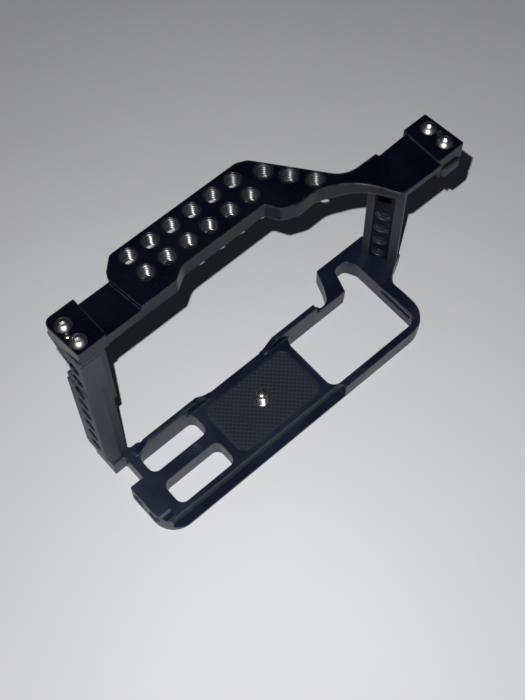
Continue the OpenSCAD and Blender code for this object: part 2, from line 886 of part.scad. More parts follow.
// countersunk screw driven from below, its head just inside the underside
module countersunk_screw() {
    head_t = (foot_head_d - foot_screw_d) / 2;
    translate([0, 0, foot_recess])
        difference() {
            union() {
                cylinder(h = head_t, r1 = foot_head_d / 2, r2 = foot_screw_d / 2);
                cylinder(h = foot_screw_len, d = foot_screw_d);
            }
            translate([0, 0, -cut]) cylinder(h = 1.2 + cut, d = foot_key / cos(30), $fn = 6);
        }
}

module countersunk_hole() {
    head_t = (foot_head_d - foot_screw_d) / 2;
    translate([0, 0, -cut]) cylinder(h = base_t + 2 * cut, d = foot_screw_d + 2 * hole_gap);
    translate([0, 0, -cut]) cylinder(h = cut + foot_recess + small_gap, r = foot_head_d / 2 + seat_gap);
    translate([0, 0, foot_recess])
        cylinder(h = head_t, r1 = foot_head_d / 2 + seat_gap, r2 = foot_screw_d / 2 + seat_gap);
}

// dowel pins: half in each of the two pieces that meet at a foot, and flush with the top face
module foot_pin() {
    translate([0, 0, base_t - foot_pin_len / 2]) cylinder(h = foot_pin_len, d = foot_pin_d);
}

module top_pin(at) {
    translate([at[0], at[1], cage_height - top_pin_len]) cylinder(h = top_pin_len, d = top_pin_d);
}

module left_foot_screws() {
    color("silver") placed() for (y = foot_screw_y) translate([foot_screw_x, y, 0]) countersunk_screw();
}

module left_foot_pins() {
    color("silver") placed() for (y = foot_pin_y) translate([foot_pin_x, y, 0]) foot_pin();
}

module right_foot_screws() {
    color("silver") placed() on_pillar() for (at = pillar_screw_at) translate(at) countersunk_screw();
}

module right_foot_pins() {
    color("silver") placed() on_pillar() for (at = pillar_pin_at) translate(at) foot_pin();
}

module top_left_pin() {
    color("silver") placed() top_pin(left_pin_at);
}

module top_right_pin() {
    color("silver") placed() top_pin(right_pin_at);
}

base_plate();
base_pad();
pad_adhesive();
camera_screw();
screw_washer();
screw_ring();
slot_bar_screw();
left_upright();
left_foot_screws();
left_foot_pins();
right_upright();
right_foot_screws();
right_foot_pins();
top_plate();
top_left_screws();
top_right_screws();
top_left_pin();
top_right_pin();
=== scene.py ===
"""Dresses a machined camera cage: anodised metal, threads, knurled pad and bright screws."""

import json
import math

import bmesh
import bpy
from bpy.props import (
    FloatProperty,
    FloatVectorProperty,
    IntProperty,
    PointerProperty,
)
from bpy.types import Operator, Panel, PropertyGroup
from mathutils import Matrix, Vector


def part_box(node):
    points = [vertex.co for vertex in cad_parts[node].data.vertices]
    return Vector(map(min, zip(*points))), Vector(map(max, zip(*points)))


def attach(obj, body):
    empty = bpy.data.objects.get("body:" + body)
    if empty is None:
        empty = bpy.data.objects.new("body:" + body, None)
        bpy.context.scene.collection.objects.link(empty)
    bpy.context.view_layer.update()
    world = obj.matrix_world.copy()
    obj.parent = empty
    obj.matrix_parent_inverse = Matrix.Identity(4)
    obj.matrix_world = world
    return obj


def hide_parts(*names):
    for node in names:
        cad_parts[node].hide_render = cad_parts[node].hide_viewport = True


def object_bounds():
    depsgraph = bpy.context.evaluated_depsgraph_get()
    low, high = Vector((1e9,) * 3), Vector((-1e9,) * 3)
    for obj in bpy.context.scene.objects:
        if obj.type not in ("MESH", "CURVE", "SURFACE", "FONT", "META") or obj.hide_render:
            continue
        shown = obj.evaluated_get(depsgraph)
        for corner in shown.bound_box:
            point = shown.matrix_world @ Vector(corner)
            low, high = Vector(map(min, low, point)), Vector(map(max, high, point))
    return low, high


bl_info = {
    "name": "Camera Cage Looks",
    "version": (1, 0, 0),
    "blender": (4, 5, 0),
    "location": "View3D > Sidebar > Cage",
    "description": "Finishes the pieces of a machined camera cage and sets up its stage",
    "category": "Object",
}

MM = 0.001
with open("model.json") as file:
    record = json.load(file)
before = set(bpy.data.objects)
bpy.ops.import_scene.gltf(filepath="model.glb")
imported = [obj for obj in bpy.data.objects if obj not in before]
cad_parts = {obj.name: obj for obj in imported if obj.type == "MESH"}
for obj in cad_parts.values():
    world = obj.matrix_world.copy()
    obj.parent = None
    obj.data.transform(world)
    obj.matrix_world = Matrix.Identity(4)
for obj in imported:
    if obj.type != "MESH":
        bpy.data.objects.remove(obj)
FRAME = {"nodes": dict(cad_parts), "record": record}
CAD_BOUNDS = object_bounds()
RECORD = FRAME["record"]
MOUNTS = {mount["name"]: mount for mount in RECORD["mounts"]}
# the black dye gives reflections a blue cast, and cut metal leaves them white
DYE_TINT = (0.78, 0.86, 1.0, 1.0)
PLAIN_TINT = (1.0, 1.0, 1.0, 1.0)
STEEL_TONE = (0.66, 0.65, 0.63)
PIN_TONE = (0.70, 0.69, 0.67)
# light of the dark room round the table
ROOM_TONE = (0.014, 0.0145, 0.017, 1.0)


# ---------------------------------------------------------------- settings


class CageMetalSettings(PropertyGroup):
    """The black anodised metal of the plates and uprights."""

    top_tone: FloatVectorProperty(
        name="Top plate tone",
        description="Colour of the top plate",
        subtype="COLOR",
        default=(0.0004, 0.0010, 0.0045),
        min=0,
        max=1,
    )
    upright_tone: FloatVectorProperty(
        name="Upright tone",
        description="Colour of the two uprights",
        subtype="COLOR",
        default=(0.0060, 0.0068, 0.0105),
        min=0,
        max=1,
    )
    base_tone: FloatVectorProperty(
        name="Base tone",
        description="Colour of the base plate",
        subtype="COLOR",
        default=(0.0018, 0.0046, 0.0160),
        min=0,
        max=1,
    )
    worn_tone: FloatVectorProperty(
        name="Worn edge tone",
        description="Colour where the black coat is thin along an edge",
        subtype="COLOR",
        default=(0.075, 0.078, 0.088),
        min=0,
        max=1,
    )
    roughness: FloatProperty(
        name="Roughness",
        description="Roughness of the blasted and anodised surface",
        default=0.31,
        min=0.05,
        max=1,
    )
    edge_radius: FloatProperty(
        name="Edge radius",
        description="Radius of the broken edges",
        default=0.5 * MM,
        min=0.1 * MM,
        max=1 * MM,
        unit="LENGTH",
        precision=5,
    )


class CageThreadSettings(PropertyGroup):
    """The quarter inch accessory threads."""

    pitch: FloatProperty(
        name="Pitch",
        description="Distance between two turns of a quarter inch thread",
        default=1.27 * MM,
        unit="LENGTH",
        precision=5,
    )
    depth: FloatProperty(
        name="Depth",
        description="Height of the thread above its root",
        default=0.687 * MM,
        unit="LENGTH",
        precision=5,
    )
    steps: IntProperty(
        name="Steps",
        description="Points in one turn",
        default=36,
        min=8,
        max=96,
    )


class CagePadSettings(PropertyGroup):
    """The rubber pad under the camera."""

    pitch: FloatProperty(
        name="Knob pitch",
        description="Distance between two rows of knobs",
        default=1.77 * MM,
        unit="LENGTH",
        precision=5,
    )
    height: FloatProperty(
        name="Knob height",
        description="Height of one knob",
        default=0.42 * MM,
        unit="LENGTH",
        precision=5,
    )
    border: FloatProperty(
        name="Plain border",
        description="Width of the smooth border round the knobs",
        default=0.35 * MM,
        unit="LENGTH",
        precision=5,
    )
    screw_hole: FloatProperty(
        name="Screw hole",
        description="Radius of the hole in the skin round the camera screw",
        default=3.6 * MM,
        unit="LENGTH",
        precision=5,
    )
    tone: FloatVectorProperty(
        name="Rubber tone",
        description="Colour of the rubber",
        subtype="COLOR",
        default=(0.0055, 0.0080, 0.0150),
        min=0,
        max=1,
    )


class CageStageSettings(PropertyGroup):
    """Floor, lamps and camera."""

    floor_tone: FloatVectorProperty(
        name="Floor tone",
        description="Colour of the table top",
        subtype="COLOR",
        default=(0.72, 0.725, 0.745),
        min=0,
        max=1,
    )
    lamp_power: FloatProperty(
        name="Lamp power",
        description="Power of the lamp beside the camera",
        default=1.2,
        unit="POWER",
    )
    fill_power: FloatProperty(
        name="Fill power",
        description="Power of the broad lamp behind the cage",
        default=0.02,
        unit="POWER",
    )
    lens: FloatProperty(
        name="Lens",
        description="Focal length on a 36 mm sensor",
        default=66.65,
        unit="CAMERA",
    )


class CageSettings(PropertyGroup):
    """All settings of the cage."""

    metal: PointerProperty(type=CageMetalSettings)
    thread: PointerProperty(type=CageThreadSettings)
    pad: PointerProperty(type=CagePadSettings)
    stage: PointerProperty(type=CageStageSettings)


# ---------------------------------------------------------------- shader groups


class NodeSheet:
    """Places nodes in one tree from left to right and links them."""

    def __init__(self, tree):
        self.tree = tree
        self.column = 0

    def add(self, kind, links=None, **values):
        """A node of that kind. links gives each input its source socket or its value."""
        node = self.tree.nodes.new(kind)
        self.column += 1
        node.location = (self.column * 180, 0)
        for key, value in values.items():
            setattr(node, key, value)
        for socket, source in (links or {}).items():
            target = node.inputs[socket]
            if isinstance(source, bpy.types.NodeSocket):
                self.tree.links.new(source, target)
            else:
                target.default_value = source
        return node

    def math(self, operation, first, second=None, third=None, clamp=False):
        """The result of an operation on one to three numbers."""
        links = {0: first}
        if second is not None:
            links[1] = second
        if third is not None:
            links[2] = third
        return self.add("ShaderNodeMath", links, operation=operation, use_clamp=clamp).outputs[0]

    def band(self, value, low, high, to_low=0.0, to_high=1.0):
        """A smooth step of value, from to_low at low to to_high at high."""
        links = {
            "Value": value,
            "From Min": low,
            "From Max": high,
            "To Min": to_low,
            "To Max": to_high,
        }
        node = self.add("ShaderNodeMapRange", links, interpolation_type="SMOOTHSTEP")
        return node.outputs["Result"]

    def across(self, operation, first, second, output=0):
        """The result of a vector operation on two vectors."""
        node = self.add("ShaderNodeVectorMath", {0: first, 1: second}, operation=operation)
        return node.outputs[output]

    def noise(self, place, scale, detail, roughness=0.5):
        """The grey value of a noise texture."""
        links = {"Vector": place, "Scale": scale, "Detail": detail, "Roughness": roughness}
        return self.add("ShaderNodeTexNoise", links).outputs["Fac"]

    def bump(self, height, strength, distance, normal=None):
        """A bump of that height over the normal."""
        links = {"Height": height, "Strength": strength, "Distance": distance}
        if normal is not None:
            links["Normal"] = normal
        return self.add("ShaderNodeBump", links).outputs[0]

    def mix(self, factor, first, second):
        """The first colour at factor 0, and the second at 1."""
        node = self.add("ShaderNodeMix", data_type="RGBA")
        for socket, source in ((0, factor), (6, first), (7, second)):
            if isinstance(source, bpy.types.NodeSocket):
                self.tree.links.new(source, node.inputs[socket])
            elif socket == 0:
                node.inputs[socket].default_value = source
            else:
                node.inputs[socket].default_value = (*source[:3], 1.0)
        return node.outputs[2]


def new_group(name, inputs, outputs):
    """A shader node group with named sockets. Each input is (name, socket type, default)."""
    group = bpy.data.node_groups.new(name, "ShaderNodeTree")
    for label, kind, default in inputs:
        socket = group.interface.new_socket(label, in_out="INPUT", socket_type=kind)
        if default is not None:
            socket.default_value = default
    for label, kind in outputs:
        group.interface.new_socket(label, in_out="OUTPUT", socket_type=kind)
    sheet = NodeSheet(group)
    start = sheet.add("NodeGroupInput")
    return group, sheet, start.outputs


def close_group(sheet, results):
    """Links the results to the group's outputs of those names."""
    end = sheet.add("NodeGroupOutput")
    for label, socket in results.items():
        sheet.tree.links.new(socket, end.inputs[label])


def object_place(sheet):
    """Object coordinates, in metres."""
    return sheet.add("ShaderNodeTexCoord").outputs["Object"]


def edge_group():
    """Rounds the edges in the shading, and masks them so that wear can follow."""
    group, sheet, given = new_group(
        "broken_edge",
        [
            ("Radius", "NodeSocketFloat", 0.3 * MM),
            ("Wear", "NodeSocketFloat", 0.5),
        ],
        [("Normal", "NodeSocketVector"), ("Mask", "NodeSocketFloat")],
    )
    soft = sheet.add("ShaderNodeBevel", {"Radius": given["Radius"]}, samples=6).outputs["Normal"]
    wide_radius = sheet.math("MULTIPLY", given["Radius"], 1.6)
    wide = sheet.add("ShaderNodeBevel", {"Radius": wide_radius}, samples=6).outputs["Normal"]
    flat = sheet.add("ShaderNodeNewGeometry").outputs["True Normal"]
    likeness = sheet.across("DOT_PRODUCT", wide, flat, output="Value")
    turned = sheet.band(likeness, 0.995, 0.86)
    scratch = sheet.noise(object_place(sheet), 420.0, 3.0, roughness=0.6)
    patchy = sheet.band(scratch, 0.38, 0.62, 0.35, 1.0)
    worn = sheet.math("MULTIPLY", turned, patchy)
    mask = sheet.math("MULTIPLY", worn, given["Wear"], clamp=True)
    close_group(sheet, {"Normal": soft, "Mask": mask})
    return group


def blasted_group():
    """Fine blasted grain: a height for the bump, and a slow drift for tone and gloss."""
    group, sheet, given = new_group(
        "blasted_grain",
        [
            ("Grain size", "NodeSocketFloat", 0.2 * MM),
            ("Drift size", "NodeSocketFloat", 20 * MM),
        ],
        [("Height", "NodeSocketFloat"), ("Drift", "NodeSocketFloat"), ("Speck", "NodeSocketFloat")],
    )
    place = object_place(sheet)
    fine_scale = sheet.math("DIVIDE", 1.0, given["Grain size"])
    slow_scale = sheet.math("DIVIDE", 1.0, given["Drift size"])
    fine = sheet.noise(place, fine_scale, 2.0)
    slow = sheet.noise(place, slow_scale, 4.0, roughness=0.55)
    dots = sheet.noise(place, 1900.0, 1.0)
    drift = sheet.band(slow, 0.3, 0.7)
    speck = sheet.band(dots, 0.70, 0.78)
    close_group(sheet, {"Height": fine, "Drift": drift, "Speck": speck})
    return group


def lathe_group():
    """Concentric tool marks round an upright axis, as a height."""
    group, sheet, given = new_group(
        "lathe_marks",
        [("Spacing", "NodeSocketFloat", 0.18 * MM), ("Centre", "NodeSocketVector", (0, 0, 0))],
        [("Height", "NodeSocketFloat")],
    )
    place = object_place(sheet)
    local = sheet.across("SUBTRACT", place, given["Centre"])
    parts = sheet.add("ShaderNodeSeparateXYZ", {0: local}).outputs
    squares = [sheet.math("MULTIPLY", part, part) for part in (parts[0], parts[1])]
    radius = sheet.math("SQRT", sheet.math("ADD", *squares))
    turns = sheet.math("DIVIDE", sheet.math("ADD", radius, parts[2]), given["Spacing"])
    wave = sheet.math("SINE", sheet.math("MULTIPLY", turns, math.tau))
    grit = sheet.math("MULTIPLY", sheet.noise(place, 900.0, 2.0), 1.4)
    close_group(sheet, {"Height": sheet.math("ADD", wave, grit)})
    return group


# ---------------------------------------------------------------- materials


def new_material(name):
    """An empty material and the sheet that its nodes are placed with."""
    material = bpy.data.materials.new(name)
    material.use_nodes = True
    material.node_tree.nodes.clear()
    sheet = NodeSheet(material.node_tree)
    return material, sheet


def place_group(sheet, name, **values):
    """The outputs of a named group. A value's name has _ where the input's has a space."""
    node = sheet.add("ShaderNodeGroup")
    node.node_tree = bpy.data.node_groups[name]
    for label, value in values.items():
        node.inputs[label.replace("_", " ")].default_value = value
    return node.outputs


def finish_material(sheet, shader):
    """Links the shader to the surface."""
    end = sheet.add("ShaderNodeOutputMaterial")
    sheet.tree.links.new(shader.outputs[0], end.inputs["Surface"])


def anodised(
    name,
    tone,
    roughness,
    edge_radius,
    worn_tone,
    wear=0.55,
    drift_size=30 * MM,
    gloss=0.5,
    tint=DYE_TINT,
    broad_edge=None,
    foot=None,
):
    """Black anodised aluminium with a blasted grain and thinner colour on its edges.

    broad_edge is (from x, to x, radius): between the two, the edges have that larger radius.
    foot is (from z, to z, times), a painted light: between the two, the tone grows that many times
    lighter.
    """
    material, sheet = new_material(name)
    edge = place_group(sheet, "broken_edge", Radius=edge_radius, Wear=wear)
    if broad_edge:
        along = sheet.add("ShaderNodeSeparateXYZ", {0: object_place(sheet)}).outputs[0]
        fade = 6 * MM
        rise = sheet.band(along, broad_edge[0], broad_edge[0] + fade)
        fall = sheet.band(along, broad_edge[1] - fade, broad_edge[1], 1.0, 0.0)
        both = sheet.math("MULTIPLY", rise, fall)
        radius = sheet.math("MULTIPLY_ADD", both, broad_edge[2] - edge_radius, edge_radius)
        sheet.tree.links.new(radius, edge["Normal"].node.inputs["Radius"])
    grain = place_group(sheet, "blasted_grain", Grain_size=0.16 * MM, Drift_size=drift_size)
    lighter = tuple(min(1.0, channel * 1.45 + 0.002) for channel in tone)
    body = sheet.mix(grain["Drift"], tone, lighter)
    if foot:
        # painted light: between the two heights the tone grows lighter, standing in for light that
        # falls there
        height = sheet.add("ShaderNodeSeparateXYZ", {0: object_place(sheet)}).outputs[2]
        foot_lit_tone = tuple(channel * foot[2] for channel in tone)
        body = sheet.mix(sheet.band(height, foot[0], foot[1]), body, foot_lit_tone)
    dusty = sheet.mix(sheet.math("MULTIPLY", grain["Speck"], 0.25), body, worn_tone)
    colour = sheet.mix(edge["Mask"], dusty, worn_tone)
    rough = sheet.band(grain["Drift"], 0.0, 1.0, roughness - 0.04, roughness + 0.05)
    bump = sheet.bump(grain["Height"], 0.14, 0.06 * MM, edge["Normal"])
    shader = sheet.add(
        "ShaderNodeBsdfPrincipled",
        {
            "Base Color": colour,
            "Roughness": rough,
            "Normal": bump,
            "Metallic": 0.0,
            "IOR": 1.55,
            "Specular IOR Level": gloss,
            "Specular Tint": tint,
        },
    )
    finish_material(sheet, shader)
    return material


def rubber(name, tone):
    """Matte moulded rubber with a soft bloom on it."""
    material, sheet = new_material(name)
    grain = place_group(sheet, "blasted_grain", Grain_size=0.25 * MM, Drift_size=12 * MM)
    edge = place_group(sheet, "broken_edge", Radius=0.12 * MM, Wear=0.35)
    bloom = tuple(channel * 1.4 + 0.001 for channel in tone)
    colour = sheet.mix(grain["Drift"], tone, bloom)
    rubbed = sheet.mix(edge["Mask"], colour, tuple(channel * 2.6 for channel in tone))
    bump = sheet.bump(grain["Height"], 0.3, 0.05 * MM, edge["Normal"])
    shader = sheet.add(
        "ShaderNodeBsdfPrincipled",
        {
            "Base Color": rubbed,
            "Roughness": sheet.band(grain["Drift"], 0.0, 1.0, 0.6, 0.72),
            "Normal": bump,
            "Specular Tint": DYE_TINT,
            "Sheen Weight": 0.05,
        },
    )
    finish_material(sheet, shader)
    return material


def steel(name, tone, roughness, centre=(0, 0, 0), marks=0.25):
    """Turned stainless steel with fine lathe marks round an upright axis."""
    material, sheet = new_material(name)
    edge = place_group(sheet, "broken_edge", Radius=0.15 * MM, Wear=0.3)
    turned = place_group(sheet, "lathe_marks", Spacing=0.18 * MM, Centre=centre)
    grain = place_group(sheet, "blasted_grain", Grain_size=0.3 * MM, Drift_size=4 * MM)
    stained = tuple(channel * 0.78 for channel in tone)
    colour = sheet.mix(grain["Drift"], stained, tone)
    bright = sheet.mix(edge["Mask"], colour, tuple(min(1.0, channel * 1.2) for channel in tone))
    bump = sheet.bump(turned["Height"], marks, 0.02 * MM, edge["Normal"])
    shader = sheet.add(
        "ShaderNodeBsdfPrincipled",
        {
            "Base Color": bright,
            "Roughness": sheet.band(grain["Drift"], 0.0, 1.0, roughness - 0.03, roughness + 0.06),
            "Normal": bump,
            "Metallic": 1.0,
        },
    )
    finish_material(sheet, shader)
    return material


def film(name, tone):
    """Pale adhesive film, a little uneven."""
    material, sheet = new_material(name)
    grain = place_group(sheet, "blasted_grain", Grain_size=0.6 * MM, Drift_size=6 * MM)
    colour = sheet.mix(grain["Drift"], tone, tuple(channel * 0.8 for channel in tone))
    bump = sheet.bump(grain["Height"], 0.2, 0.1 * MM)
    shader = sheet.add(
        "ShaderNodeBsdfPrincipled",
        {
            "Base Color": colour,
            "Roughness": sheet.band(grain["Drift"], 0.0, 1.0, 0.4, 0.6),
            "Normal": bump,
        },
    )
    finish_material(sheet, shader)
    return material


# ---------------------------------------------------------------- mesh helpers


def new_piece(name, mesh, material, body):
    """Puts a mesh in the scene as a piece that rides on a body."""
    piece = bpy.data.objects.new(name, mesh)
    bpy.context.scene.collection.objects.link(piece)
    mesh.materials.clear()
    mesh.materials.append(material)
    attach(piece, body)
    return piece


def mesh_from(name, builder):
    """A mesh of what the builder holds. The builder is freed."""
    mesh = bpy.data.meshes.new(name)
    builder.to_mesh(mesh)
    builder.free()
    return mesh


def shade_smooth_by_angle(mesh, angle=math.radians(30)):
    """Smooth shading, with edges sharper than angle kept sharp."""
    builder = bmesh.new()
    builder.from_mesh(mesh)
    for face in builder.faces:
        face.smooth = True
    for edge in builder.edges:
        edge.smooth = len(edge.link_faces) == 2 and edge.calc_face_angle(math.pi) < angle
    builder.to_mesh(mesh)
    builder.free()


def paint_node(node, material):
    """Gives a CAD node its finish."""
    shown = FRAME["nodes"][node]
    for slot in shown.material_slots:
        slot.material = material
    if not shown.material_slots:
        shown.data.materials.append(material)


def add_circle(builder, radius, z, steps, middle=(0.0, 0.0)):
    """A closed ring of points round middle, or one point where the radius is nothing."""
    if radius == 0.0:
        return [builder.verts.new((middle[0], middle[1], z))]
    ring = []
    for i in range(steps):
        angle = math.tau * i / steps
        x, y = radius * math.cos(angle), radius * math.sin(angle)
        ring.append(builder.verts.new((middle[0] + x, middle[1] + y, z)))
    return ring


def join_rings(builder, below, above):
    """Faces between two closed rings. A ring of one point closes the end."""
    count = max(len(below), len(above))
    for i in range(count):
        j = (i + 1) % count
        if len(below) == 1:
            corners = (below[0], above[j], above[i])
        elif len(above) == 1:
            corners = (below[i], below[j], above[0])
        else:
            corners = (below[i], below[j], above[j], above[i])
        builder.faces.new(corners)


def add_helix(builder, place, root, crest, pitch, length, steps):
    """A thread of triangular section along +Z of place, from z = 0 to length."""
    turns = length / pitch
    count = int(turns * steps)
    previous = None
    # half widths of the thread at its root and on its crest, and the points of its run-out
    half, flat = pitch * 0.4375, pitch * 0.125
    run_out = steps * 0.4
    for i in range(count + 1):
        angle = math.tau * i / steps
        z = pitch * i / steps
        fade = min(1.0, i / run_out, (count - i) / run_out)
        tip = root + (crest - root) * fade
        ring = []
        section = (
            (root, -half * fade),
            (tip, -flat * fade),
            (tip, flat * fade),
            (root, half * fade),
        )
        for radius, offset in section:
            height = min(max(z + offset, 0), length)
            local = Vector((radius * math.cos(angle), radius * math.sin(angle), height))
            ring.append(builder.verts.new(place @ local))
        if previous:
            for j in range(3):
                builder.faces.new((previous[j], previous[j + 1], ring[j + 1], ring[j]))
            builder.faces.new((previous[3], previous[0], ring[0], ring[3]))
        previous = ring


def axis_place(point, axis):
    """A frame at point whose +Z runs along axis."""
    turn = Vector(axis).to_track_quat("Z", "Y").to_matrix().to_4x4()
    return Matrix.Translation(Vector(point)) @ turn


def pattern_points(mount):
    """Centres of the holes of one mount, a single hole or a straight row."""
    centre = Vector(mount["pos_m"])
    dims = mount["dims"]
    count = dims.get("count", 1)
    if count == 1:
        return [centre]
    axis = [abs(value) for value in mount["axis"]]
    across = [Vector(v) for v, size in zip(((1, 0, 0), (0, 1, 0), (0, 0, 1)), axis) if size < 0.5]
    along = across[0] if "spacing_x_mm" in dims else across[1]
    pitch = dims.get("spacing_x_mm", dims.get("spacing_y_mm")) * MM
    return [centre + along * pitch * (i - (count - 1) / 2) for i in range(count)]


# ---------------------------------------------------------------- operators


class CAGE_OT_metal(Operator):
    """Finish the base plate, the uprights and the top plate"""

    bl_idname = "cage.metal"
    bl_label = "Anodised Metal"

    def execute(self, context):
        metal = context.scene.camera_cage.metal
        worn_tone = tuple(metal.worn_tone)
        broad = (20 * MM, 72 * MM, metal.edge_radius * 2.2)
        # painted light: the left upright's tone grows up to six times lighter from 55 mm height
        # down to z = 0
        painted_foot_light = (55 * MM, 0.0, 6.0)
        # tone, roughness over the common one, and what else differs
        looks = {
            "base_plate": (metal.base_tone, 0.06, {"gloss": 0.46}),
            "left_upright": (metal.upright_tone, 0.26, {"gloss": 0.92, "foot": painted_foot_light}),
            "right_upright": (metal.upright_tone, 0.2, {"gloss": 0.72}),
            "top_plate": (metal.top_tone, -0.05, {"gloss": 0.19, "broad_edge": broad}),
        }
        for node, (tone, rougher, more) in looks.items():
            roughness = metal.roughness + rougher
            finish = anodised(
                f"{node}_anodised", tuple(tone), roughness, metal.edge_radius, worn_tone, **more
            )
            paint_node(node, finish)
        # painted shade for recesses: a darker, less glossy copy of the upright's black
        shade_black = anodised(
            "channel_black",
            tuple(channel * 0.3 for channel in metal.upright_tone),
            0.4,
            metal.edge_radius * 0.5,
            tuple(metal.upright_tone),
            wear=0.4,
            gloss=0.08,
        )
        self.darken_channel(shade_black)
        self.darken_bores(shade_black)
        return {"FINISHED"}

    def darken_channel(self, finish):
        """Gives the floor of the right upright's channel painted shade: a darker black with weaker
        reflections.
        """
        mount = MOUNTS["right_upright_1"]
        axis = Vector(mount["axis"]).normalized()
        # the bores open on the channel's floor
        mouth = Vector(mount["pos_m"]) + axis * (mount["dims"]["length_mm"] / 2 + 0.4) * MM
        mesh = FRAME["nodes"]["right_upright"].data
        mesh.materials.append(finish)
        for face in mesh.polygons:
            height = (face.center - mouth).dot(axis)
            if face.normal.dot(axis) > 0.99 and abs(height) < 0.3 * MM:
                face.material_index = len(mesh.materials) - 1

    def darken_bores(self, finish):
        """Gives the walls of the left upright's accessory holes the same painted shade."""
        mesh = FRAME["nodes"]["left_upright"].data
        mesh.materials.append(finish)
        for number in (1, 2, 3, 4):
            mount = MOUNTS[f"left_upright_pair_{number}"]
            axis = Vector(mount["axis"]).normalized()
            reach = (mount["dims"]["hole_r_mm"] + 0.05) * MM
            for point in pattern_points(mount):
                for face in mesh.polygons:
                    offset = face.center - point
                    across = offset - axis * offset.dot(axis)
                    if across.length < reach and abs(face.normal.dot(axis)) < 0.1:
                        face.material_index = len(mesh.materials) - 1


class CAGE_OT_threads(Operator):
    """Cut the accessory threads into their holes"""

    bl_idname = "cage.threads"
    bl_label = "Accessory Threads"

    tone = (0.016, 0.017, 0.021)
    # length of each thread and where it starts from the mount's point, inward, in millimetres
    rows = {
        **{f"top_far_pair_{number}": ("top_plate_threads", 7.2, 0.4) for number in (1, 2, 3)},
        **{f"top_near_pair_{number}": ("top_plate_threads", 7.2, 0.4) for number in (1, 2, 3)},
        **{f"top_slanted_{number}": ("top_plate_threads", 7.2, -3.6) for number in (1, 2, 3)},
        "left_upright_pair_1": ("left_upright_threads", 10.6, 0.4),
        "left_upright_pair_2": ("left_upright_threads", 10.6, 0.4),
        "left_upright_pair_3": ("left_upright_threads", 12.2, 0.4),
        "left_upright_pair_4": ("left_upright_threads", 11.5, 0.4),
        **{
            f"right_upright_{number}": ("right_upright_threads", 4.6, -2.3)
            for number in (1, 2, 3, 4)
        },
        "base_side_1": ("base_side_threads", 8.4, -4.0),
        "base_side_2": ("base_side_threads", 8.4, -4.0),
        "tripod_small": ("tripod_threads", 5.4, -1.6),
        "tripod_large": ("tripod_threads", 5.4, -1.6),
    }

    def execute(self, context):
        thread = context.scene.camera_cage.thread
        metal = context.scene.camera_cage.metal
        cut = {
            "edge_radius": 0.08 * MM,
            "worn_tone": tuple(metal.worn_tone),
            "drift_size": 4 * MM,
            "tint": PLAIN_TINT,
        }
        bright = anodised("cut_thread", self.tone, 0.26, wear=0.6, gloss=0.5, **cut)
        # painted shade: a duller copy with less worn colour on the crests and weaker reflections,
        # for the shaded side holes of the left upright
        shaded_thread = anodised("side_thread", self.tone, 0.5, wear=0.2, gloss=0.2, **cut)
        builders = {}
        for mount_name, (piece_name, length, start) in self.rows.items():
            mount = MOUNTS[mount_name]
            dims = mount["dims"]
            wall = dims.get("r_mm", dims.get("hole_r_mm")) * MM
            inward = -Vector(mount["axis"]).normalized()
            builder = builders.setdefault(piece_name, bmesh.new())
            for point in pattern_points(mount):
                place = axis_place(point + inward * start * MM, inward)
                root, crest = wall + 0.02 * MM, wall - thread.depth
                add_helix(builder, place, root, crest, thread.pitch, length * MM, thread.steps)
        for piece_name, builder in builders.items():
            mesh = mesh_from(piece_name, builder)
            shade_smooth_by_angle(mesh, math.radians(40))
            finish = shaded_thread if piece_name == "left_upright_threads" else bright
            new_piece(piece_name, mesh, finish, "cage")
        return {"FINISHED"}


